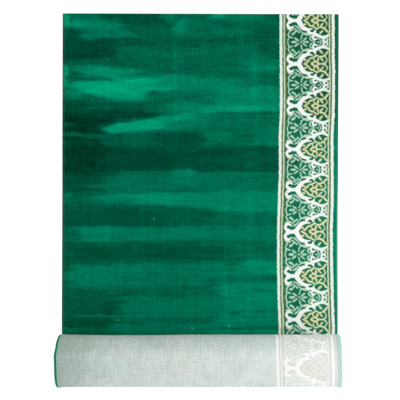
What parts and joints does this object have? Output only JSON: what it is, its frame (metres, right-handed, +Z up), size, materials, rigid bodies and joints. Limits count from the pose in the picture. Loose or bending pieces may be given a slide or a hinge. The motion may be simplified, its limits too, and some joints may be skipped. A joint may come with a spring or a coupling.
{
  "type": "mosque carpet",
  "caption": "Long woven pile carpet with a patterned border along one side, its front end rolled up over its pile.",
  "frame": {"origin": "on the floor, in the middle of the ground that the carpet covers", "axes": "+X to the right along the roll, towards the patterned border; +Y away from the roll along the spread carpet; +Z up"},
  "size_m": [1.05, 1.411, 0.202],
  "materials": {
    "pile": "dense short green pile that shades with its lean, cream and gold border, pale grey green woven back",
    "edge_yarn": "green overcast yarn"
  },
  "bodies": {
    "root": {"carpet": "pile", "left_edge": "edge_yarn", "right_edge": "edge_yarn"}
  },
  "joints": []
}
